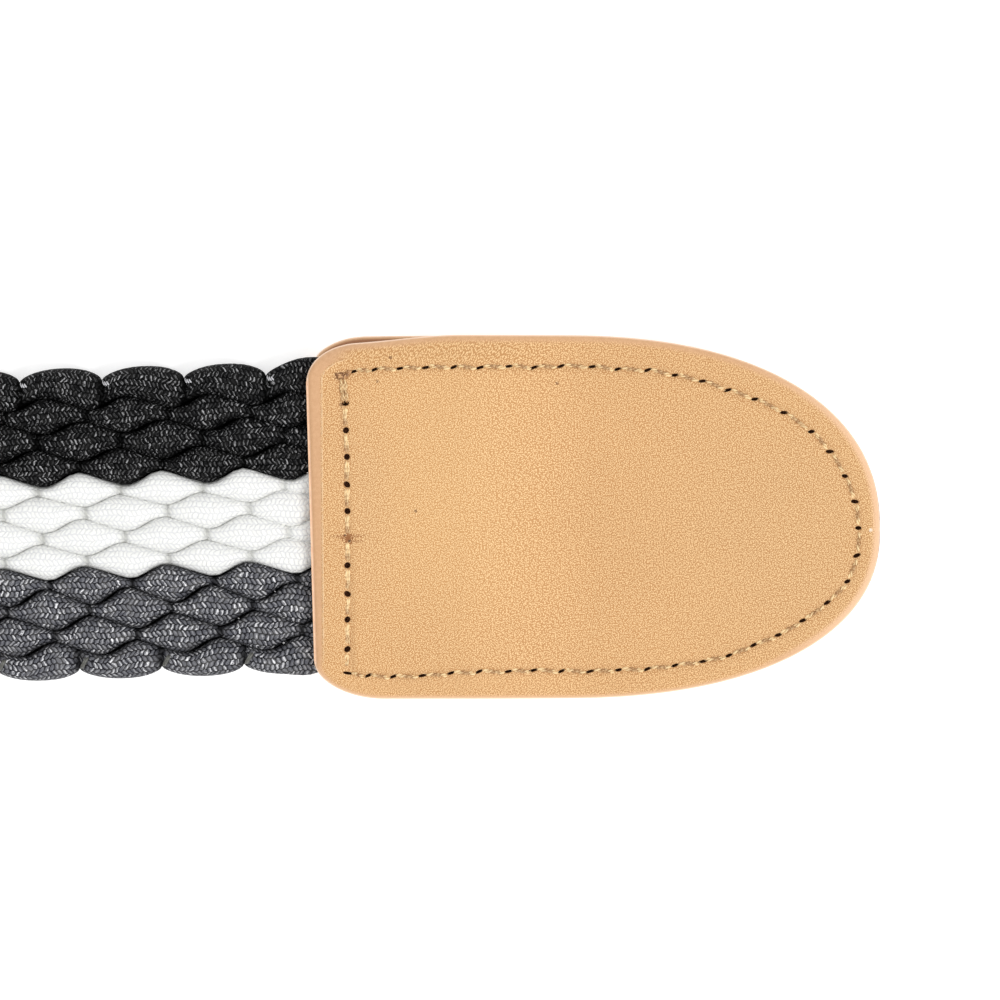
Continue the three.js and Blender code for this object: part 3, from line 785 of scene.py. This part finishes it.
RUST = (0.25, 0.075, 0.012)
PORE = (0.16, 0.07, 0.025)
front_leather = leather_material("tan_leather_front", [
    # The three broad patches are painted light and shade: lighter over the raised part behind the mouth, darker
    # beside the mouth and towards the nose.
    spot((447, 500), (15.0, 22.0), (0.715, 0.415, 0.165), 0.75),
    spot((366, 505), (4.5, 16.0), (0.56, 0.33, 0.155), 0.40),
    spot((790, 530), (22.0, 26.0), (0.56, 0.335, 0.150), 0.45),
    spot((391, 358), 0.20, PORE, 0.75),
    spot((378, 382), 0.20, PORE, 0.7),
    spot((416, 511), 0.20, PORE, 0.75),
    spot((557, 383), 0.20, PORE, 0.75),
    spot((871, 530), 0.22, (0.98, 0.93, 0.85), 0.6),
    spot((348.5, 538.5), 0.62, RUST, 1.0),
    spot((348, 536), (2.1, 0.24), RUST, 0.55),
    spot((354, 541), (1.3, 0.2), RUST, 0.5),
    spot((349, 537), (0.32, 1.15), RUST, 0.6),
    spot((350, 541), 0.2, (0.03, 0.01, 0.004), 1.0),
    spot((346, 535), 0.16, (0.04, 0.014, 0.005), 0.9),
    spot((341, 376.5), (0.75, 0.55), (0.20, 0.08, 0.03), 0.8),
    spot((342, 405), (0.22, 0.4), PORE, 0.9),
])
plain_leather = leather_material("tan_leather_plain")
lip_leather = leather_material("tan_leather_lip", lip=True)
# The stitch holes' walls are painted dark brown: painted shade inside the holes.
hole_painted_shade = dark_material("stitch_hole_painted_shade", (0.11, 0.043, 0.018))

front, front_line = tip_layer(
    "tip_front", front_upper, tip_lower, lambda u, v: front_surface(u, v) - LEATHER, (200, 130), True
)
back, back_line = tip_layer(
    "tip_back", back_upper, tip_lower, lambda u, v: 0.0 * u, (110, 60), False
)

# The slits along the sides all lean the same way, and those round the nose are shorter.
runs = np.gradient(round_holes, axis=0)
turned = np.abs(runs[:, 1]) / np.linalg.norm(runs, axis=1)
punches = []
for n, (p, t) in enumerate(zip(round_holes[:-1], turned[:-1])):
    turn = (17 - 26 * t if p[1] > -4 else 17 + 12 * t) + 7 * math.sin(1.9 * n)
    uneven = 1 + 0.12 * math.sin(2.9 * n)
    punches.append((p, ((1.02 - 0.24 * t) * uneven, 0.31 + 0.13 * t, math.radians(turn))))
punches.append((round_holes[-1], (1.1, 0.32, math.radians(-8))))
STAINED = 6  # this hole of the line beside the mouth is closed by a stain
open_holes = np.delete(mouth_holes, [0, STAINED, len(mouth_holes) - 1], 0)
for n, p in enumerate(open_holes):
    uneven = 0.09 * math.sin(2.3 * n + 1.0)
    punches.append((p, (0.72 + uneven, 0.66 - 0.6 * uneven, 0.8 * math.sin(1.7 * n))))
cutter = hole_cutter(punches).make("hole_cutter", hole_painted_shade)
cut = front.modifiers.new("holes", "BOOLEAN")
cut.operation, cut.object, cut.solver = "DIFFERENCE", cutter, "MANIFOLD"
evaluated = front.evaluated_get(bpy.context.evaluated_depsgraph_get())
cut_mesh = bpy.data.meshes.new_from_object(evaluated)
front.modifiers.clear()
front.data = cut_mesh
bpy.data.objects.remove(cutter)

mark_edges(front, front_line, 1)
mark_edges(back, back_line, 0)
front.data.materials.clear()
front.data.materials.append(front_leather)
front.data.materials.append(hole_painted_shade)
back.data.materials.append(lip_leather)

centres = np.zeros(len(front.data.polygons) * 3)
front.data.polygons.foreach_get("center", centres)
centres = centres.reshape(-1, 3) / MM
flat = row_to_tip(centres)
sunk = front_surface(flat[:, 0], flat[:, 1]) - centres[:, 2]
all_holes = np.concatenate([round_holes, open_holes])
# Faces inside the holes get the painted shade material.
inside = (nearest(flat, all_holes) < 0.7) & (sunk > 0.17) & (sunk < 1.4)
front.data.polygons.foreach_set("material_index", inside.astype(np.int32))
front.data.update()
finish_piece(front, "tan_leather", "tip_front_leather")
finish_piece(back, "tan_leather", "tip_back_leather")


def stitch_path(a, b, clear, rise, slip, outwards=0.0):
    """A stitch over the leather, from clear beyond hole a to as much before hole b."""
    t = np.linspace(0, 1, 21)
    length = np.linalg.norm(b - a)
    run = (b - a) / length
    across = np.array([-run[1], run[0]])
    away = clear + (length - 2 * clear) * t
    flat = a + run * away[:, None] + across * (slip * (0.5 - t) * 2 + outwards)[:, None]
    ends = clamp01(np.minimum(away - clear, length - clear - away) / 0.3)
    z = front_surface(flat[:, 0], flat[:, 1]) - 0.10 - 0.45 * (1 - ends) ** 2 + rise * np.sin(math.pi * t)
    x, y = tip_to_row(flat[:, 0], flat[:, 1])
    return np.stack([x, y, z], 1)


# Painted highlights on the stitches: lighter towards both ends, or towards the start, where the thread rises from a
# hole.
HIGHLIGHT_AT_ENDS = 0.15 + 0.85 * np.abs(np.linspace(-1, 1, 21)) ** 1.5
HIGHLIGHT_AT_START = 0.1 + 0.9 * np.linspace(1, 0, 21) ** 0.8


cream_thread = thread_material("cream_thread", (0.30, 0.125, 0.036), (0.90, 0.67, 0.36))
brown_thread = thread_material("brown_thread", (0.20, 0.075, 0.025), (0.62, 0.36, 0.17))
stitches = Skin()
for n, (a, b, t) in enumerate(zip(round_holes[:-1], round_holes[1:], turned)):
    path = stitch_path(a, b, 0.42 - 0.04 * t, 0.02 - 0.05 * t, 0.16 - 0.1 * t, 0.14 * t)
    add_twist(stitches, path, 0.13, start=1.1 * n, pale=HIGHLIGHT_AT_ENDS)
for n, (a, b) in enumerate(zip(mouth_holes[1:-1], mouth_holes[2:])):
    last_one = n == len(mouth_holes) - 3
    path = stitch_path(a, b + [-0.3, 0.2] if last_one else b, 0.40, 0.0, 0.0)
    for k in (-1, 0, 1):
        sway = 0.05 * np.sin(1.7 * n + 2.1 * k + 5.0 * np.linspace(0, 1, len(path)))
        beside = np.stack([0.15 * k + sway, 0 * sway, sway - 0.03 * abs(k)], 1)
        # The left strand is painted darker, a painted shade.
        add_strand(stitches, path + beside, 0.125, pale=HIGHLIGHT_AT_START - 0.2 * (k < 0))
first, second = mouth_holes[0], mouth_holes[1] + [0.0, 0.05]
for side in (-0.19, 0.19):
    path = stitch_path(first + [side - 0.12, 0], second + [side, 0], 0.1, 0.12, 0.0)
    add_twist(stitches, path, 0.13, turn=2.4, start=side, pale=0.35 * HIGHLIGHT_AT_START + 0.2)
stitches = stitches.make("tip_stitches", cream_thread)
finish_piece(stitches, "white_cord")

# The thread's darker knot at the upper corner
knot = Skin()
for ends, bow in (
    (((336.5, 375.0), (346.5, 378.5)), 0.25),
    (((345.0, 379.0), (351.0, 371.5)), 0.32),
    (((338.5, 379.0), (345.5, 373.5)), 0.12),
):
    a, b = (np.array(tip_place(p)) for p in ends)
    t = np.linspace(0, 1, 13)
    flat = a + (b - a) * t[:, None]
    z = front_surface(flat[:, 0], flat[:, 1]) - 0.2 + (0.2 + bow) * np.sin(math.pi * t) ** 0.6
    x, y = tip_to_row(flat[:, 0], flat[:, 1])
    patchy = 0.5 + 0.5 * np.sin(9.0 * t + 40.0 * bow)
    add_twist(knot, np.stack([x, y, z], 1), 0.105, start=bow, pale=patchy)
knot = knot.make("tip_knot", brown_thread)
finish_piece(knot, "white_cord")

def edge_height(side, x, y):
    """The height of the face of the strap's upper (1) or lower (-1) edge cord."""
    cord = 0 if side > 0 else len(DIPS) - 1
    upper, lower = seam(cord - 1, x, 1), seam(cord, x, 1)
    across = (y - (upper + lower) / 2) / ((upper - lower) / 2)
    lift = np.maximum(0.0, 1 - across**2) ** 0.425
    shoulder = 0.58 * STRAP_THICKNESS
    return shoulder + (STRAP_THICKNESS - hollow(x, DIPS[cord]) - shoulder) * lift


# The weft shows only where it turns round the strap's edges, beside the notches. Each row is a
# point where a strand comes out of the crease and one where it goes over the edge, in millimetres
# from the notch, along the strap and outwards.
WEFT_UPPER = [
    {"inner": (0.34, -0.50), "outer": (0.16, -0.26)},
    {"inner": (0.58, -0.54), "outer": (0.38, -0.28)},
    {"inner": (0.82, -0.50), "outer": (0.62, -0.24)},
]
WEFT_LOWER = [
    {"inner": (0.76, -1.05), "outer": (0.20, -0.10)},
    {"inner": (0.96, -1.05), "outer": (0.40, -0.14)},
]


def weft_turn(skin, notch_x, notch_y, side, row, radius):
    inner, outer = np.array(row["inner"]), np.array(row["outer"])
    over = inner + (outer - inner) * np.linspace(-0.15, 1.0, 8)[:, None]
    x, y = notch_x + over[:, 0], side * (notch_y + over[:, 1])
    lift = 0.06 - 0.5 * clamp01(np.linspace(1, -3, 8)) ** 2
    z = edge_height(side, x, y) + lift
    turn = np.linspace(0.25, math.pi - 0.25, 7)
    x = np.concatenate([x, [x[-1]] * 7])
    y = np.concatenate([y, side * (notch_y - 0.12 + 0.1 * np.sin(turn))])
    z = np.concatenate([z, 2.2 + 0.75 * np.cos(turn)])
    add_strand(skin, np.stack([x, y, strap_height(x, z)], 1), radius)


weft_thread = thread_material("weft_thread", (0.50, 0.50, 0.52), (0.86, 0.86, 0.90))
# A darker copy of the white weft thread: painted shade for its turns on the lower edge.
shaded_weft_thread = thread_material("shaded_weft_thread", (0.09, 0.09, 0.08), (0.22, 0.22, 0.20))
first = math.ceil(share_at(STRAP_START)) + 1
last = math.floor(share_at(STRAP_END)) - 1
for name, edge, side, rows, radius, material in (
    ("weft_turns_upper", UPPER_EDGE, 1, WEFT_UPPER, 0.085, weft_thread),
    ("weft_turns_lower", LOWER_EDGE, -1, WEFT_LOWER, 0.14, shaded_weft_thread),
):
    turns = Skin()
    for n in range(first, last):
        notch_x = WEAVE_ZERO + (n + edge["notch"]) * WEAVE_PITCH
        if FOLD_MOUTH + 1 < notch_x < MOUTH - 1.5:
            for row in rows:
                weft_turn(turns, notch_x, abs(edge["y"]) - edge["depth"], side, row, radius)
    finish_piece(turns.make(name, material), "white_cord")


# The buckle end, which the picture doesn't show

bar_z = LEATHER + GAP + BAR_DIAMETER / 2
fold_radius = BAR_DIAMETER / 2 + GAP + LEATHER / 2


def front_run(x):
    closed = 1.5 * LEATHER + GAP
    opening = FOLD_LENGTH - BUCKLE_OVERLAP - GAP
    over = PRESSED_THICKNESS + GAP
    return (
        closed
        + (bar_z + fold_radius - closed) * (1 - smooth(x / FOLD_RUN))
        + over * smooth((x - opening + SETTLE_RUN) / SETTLE_RUN)
    )


def fold_skin():
    """The leather strip folded round the bar, as rounded sections along its middle."""
    runs = np.concatenate([FOLD_LENGTH - 4 * np.linspace(0, 1, 16) ** 1.6, np.linspace(35.6, 0, 60)])
    back_run = np.stack([runs, 0 * runs, 0 * runs + LEATHER / 2], 1)
    bend = -math.pi * (0.5 + np.linspace(0, 1, 26)[1:-1])
    bend = np.stack([fold_radius * np.cos(bend), 0 * bend, bar_z + fold_radius * np.sin(bend)], 1)
    over = np.stack([runs, 0 * runs, front_run(runs)], 1)[::-1]
    path = np.concatenate([back_run, bend, over])
    ahead = np.gradient(path, axis=0)
    ahead /= np.linalg.norm(ahead, axis=1)[:, None]
    normal = np.stack([ahead[:, 2], 0 * ahead[:, 1], -ahead[:, 0]], 1)
    out = FOLD_LENGTH - path[:, 0]
    half = LEATHER_WIDTH / 2 - corner_cut(out, FOLD_CORNER, FOLD_CORNER)
    thin = np.sqrt(np.maximum(0.03, 1 - clamp01(1 - out / 0.6) ** 2))
    section = []
    for start, centre in ((-0.5, 1), (0.5, -1)):
        for k in range(7):
            angle = math.pi * (start + k / 6)
            section.append((centre, math.cos(angle), math.sin(angle)))
    rings = np.zeros((len(path), len(section), 3))
    radius = LEATHER / 2
    for k, (side, c, s) in enumerate(section):
        rings[:, k] = path + normal * (thin * radius * s)[:, None]
        rings[:, k, 1] = side * (half - radius) + c * radius
    rings[:, :, 0] += BAR_X
    skin = Skin()
    skin.sweep(rings, np.arange(len(path)) * 1.0)
    return skin


fold = fold_skin().make("fold_leather", plain_leather)
slot = Skin()
box = np.array([[-1, -1], [1, -1], [1, 1], [-1, 1]]) * [1, PRONG_WIDTH / 2 + GAP]
rings = []
for z in (-1.0, 12.0):
    xs = np.where(box[:, 0] < 0, -(fold_radius + LEATHER), 5.0) + BAR_X
    rings.append(np.stack([xs, box[:, 1], np.full(4, z)], 1))
slot.sweep(np.array(rings), np.arange(2.0))
slot = slot.make("slot_cutter", plain_leather)
cut = fold.modifiers.new("slot", "BOOLEAN")
cut.operation, cut.object, cut.solver = "DIFFERENCE", slot, "MANIFOLD"
evaluated = fold.evaluated_get(bpy.context.evaluated_depsgraph_get())
cut_mesh = bpy.data.meshes.new_from_object(evaluated)
fold.modifiers.clear()
fold.data = cut_mesh
bpy.data.objects.remove(slot)
co = np.zeros(len(fold.data.vertices) * 3)
fold.data.vertices.foreach_get("co", co)
co = co.reshape(-1, 3) / MM
from_mouth = BAR_X + FOLD_LENGTH - co[:, 0]
from_side = LEATHER_WIDTH / 2 - np.abs(co[:, 1])
mark = fold.data.attributes.new("inset", "FLOAT", "POINT")
mark.data.foreach_set("value", np.minimum(from_mouth, from_side).astype(np.float32))
mark = fold.data.attributes.new("mouth", "FLOAT", "POINT")
mark.data.foreach_set("value", (from_mouth < 3).astype(np.float32))
finish_piece(fold, "tan_leather", "buckle_leather")

fold_stitches = Skin()


def fold_thread(places):
    for n, (a, b) in enumerate(zip(places[:-1], places[1:])):
        t = np.linspace(0, 1, 13)
        x = a[0] + (b[0] - a[0]) * (0.08 + 0.84 * t)
        y = a[1] + (b[1] - a[1]) * (0.08 + 0.84 * t)
        ends = np.minimum(1.0, np.minimum(t, 1 - t) / 0.18)
        z = front_run(x) + LEATHER / 2 - 0.6 * (1 - ends) ** 2 + 0.02
        add_twist(fold_stitches, np.stack([x + BAR_X, y, z], 1), 0.135, start=1.3 * n)


side_v = LEATHER_WIDTH / 2 - 3.0
mouth_u = FOLD_LENGTH - 4.0
fold_thread([(mouth_u, y) for y in np.linspace(-side_v, side_v, 13)])
fold_thread([(11.0, y) for y in np.linspace(-side_v, side_v, 13)])
for side in (-1, 1):
    fold_thread([(x, side * side_v) for x in np.linspace(11.0, mouth_u, 10)])
fold_stitches = fold_stitches.make("fold_stitches", cream_thread)
finish_piece(fold_stitches, "white_cord")


def metal_material():
    m = Shader("satin_steel")
    place = m.node("ShaderNodeTexCoord").outputs["Object"]
    stretch = m.node("ShaderNodeVectorMath", {0: place, 1: (1.0, 6.0, 6.0)}, operation="MULTIPLY").outputs[0]
    brush = m.noise(stretch, 900.0, 3.0, 0.6)
    m.set(Base_Color=m.mix(brush, (0.52, 0.52, 0.53), (0.68, 0.68, 0.68)), Metallic=1.0)
    m.set(Roughness=m.ramp(brush, 0.2, 0.8, 0.26, 0.4))
    m.bump(brush, 0.01)
    return m.material


def oval_ring(centre, across, width, height, sides=20):
    angle = 2 * math.pi * np.arange(sides) / sides
    c, s = np.cos(angle), np.sin(angle)
    c, s = np.sign(c) * np.abs(c) ** 0.8, np.sign(s) * np.abs(s) ** 0.8
    ring = centre + np.outer(c * width / 2, across)
    ring[:, 2] += s * height / 2
    return ring


def buckle_piece():
    steel = metal_material()
    side = LEATHER_WIDTH / 2 + SIDE_CLEARANCE + RAIL_WIDTH / 2
    bar_corner = side - LEATHER_WIDTH / 2 - GAP
    rings = []
    corners = [
        (-bar_corner, side - bar_corner, bar_corner, 0.0),
        (FRAME_CORNER - FRAME_REACH, side - FRAME_CORNER, FRAME_CORNER, 0.5),
        (FRAME_CORNER - FRAME_REACH, FRAME_CORNER - side, FRAME_CORNER, 1.0),
        (-bar_corner, bar_corner - side, bar_corner, 1.5),
    ]
    for cx, cy, radius, begin in corners:
        for step in np.linspace(0, 0.5, 13):
            angle = math.pi * (begin + step)
            out = np.array([math.cos(angle), math.sin(angle), 0.0])
            at = np.array([cx, cy, 0.0]) + radius * out
            full = float(smooth(-at[0] / bar_corner))
            at[2] = bar_z + (RAIL_HEIGHT / 2 - bar_z) * (-at[0] / FRAME_REACH)
            width = BAR_DIAMETER + (RAIL_WIDTH - BAR_DIAMETER) * full
            height = BAR_DIAMETER + (RAIL_HEIGHT - BAR_DIAMETER) * full
            at[0] += BAR_X
            rings.append(oval_ring(at, out, width, height))
    skin = Skin()
    skin.sweep(np.array(rings), np.arange(len(rings) + 1) * 1.0, joined=True)
    rest = RAIL_HEIGHT + 0.85 * PRONG_HEIGHT / 2 - 0.2
    steps = np.array([
        (0.25 * BAR_DIAMETER, bar_z, 0.8),
        (-0.2 * BAR_DIAMETER, bar_z + 0.1 * PRONG_HEIGHT, 1.0),
        (-0.25 * FRAME_REACH, rest + 0.1 * PRONG_HEIGHT, 1.0),
        (-0.6 * FRAME_REACH, rest + 0.15 * PRONG_HEIGHT, 0.95),
        (-FRAME_REACH, rest, 0.85),
        (-FRAME_REACH - 1.2, rest - 0.1 * PRONG_HEIGHT, 0.6),
    ])
    t = np.linspace(0, len(steps) - 1, 40)
    cols = [np.interp(t, np.arange(len(steps)), steps[:, k]) for k in range(3)]
    prong = [
        oval_ring(np.array([x + BAR_X, 0.0, z]), np.array([0.0, 1.0, 0.0]), size * PRONG_WIDTH, size * PRONG_HEIGHT)
        for x, z, size in zip(*cols)
    ]
    skin.sweep(np.array(prong), np.arange(len(prong)) * 1.0)
    return skin.make("buckle_frame", steel)


buckle = buckle_piece()
finish_piece(buckle, "buckle_steel", "buckle")


# Floor, light and camera

floor_mesh = bpy.data.meshes.new("floor")
floor_mesh.from_pydata([(-15, -15, 0), (15, -15, 0), (15, 15, 0), (-15, 15, 0)], [], [(0, 1, 2, 3)])
floor = bpy.data.objects.new("floor", floor_mesh)
floor.location.z = -0.0002
bpy.context.collection.objects.link(floor)
paper = Shader("pale_paper")
paper_place = paper.node("ShaderNodeTexCoord").outputs["Object"]
paper_grain = paper.noise(paper_place, 900.0, 2.0)
paper.set(Base_Color=paper.mix(paper_grain, (0.90, 0.90, 0.90), (0.93, 0.93, 0.93)), Roughness=0.9)
paper.surface.inputs["Emission Color"].default_value = (1.0, 1.0, 1.0, 1.0)
paper.surface.inputs["Emission Strength"].default_value = 0.38
floor_mesh.materials.append(paper.material)

scene = bpy.context.scene
scene.view_settings.view_transform = "Standard"
world = bpy.data.worlds.new("studio")
world.use_nodes = True
world.node_tree.nodes["Background"].inputs["Color"].default_value = (1.0, 1.0, 1.0, 1.0)
world.node_tree.nodes["Background"].inputs["Strength"].default_value = 0.72
scene.world = world


def sun(name, strength, width, towards):
    data = bpy.data.lights.new(name, "SUN")
    data.energy, data.angle = strength, math.radians(width)
    made = bpy.data.objects.new(name, data)
    made.rotation_mode = "QUATERNION"
    made.rotation_quaternion = Vector(towards).to_track_quat("-Z", "Y")
    bpy.context.collection.objects.link(made)


sun("key", 1.5, 22, (-0.62, 0.5, -1.15))
sun("fill", 0.6, 70, (0.3, -0.3, -1.0))

camera_data = bpy.data.cameras.new("camera")
camera_data.lens, camera_data.sensor_width = 200.0, 36.0
camera_data.clip_end = 100.0
camera = bpy.data.objects.new("camera", camera_data)
half_view = 500 * MM_PER_PIXEL
view_x, view_y = tip_to_row(*tip_place(PICTURE_MIDDLE))
distance = half_view * camera_data.lens / (camera_data.sensor_width / 2)
camera.location = (view_x * MM, view_y * MM, (3.5 + distance) * MM)
camera.rotation_euler = Euler((0.0, 0.0, TIP_TURN))
bpy.context.collection.objects.link(camera)
scene.camera = camera
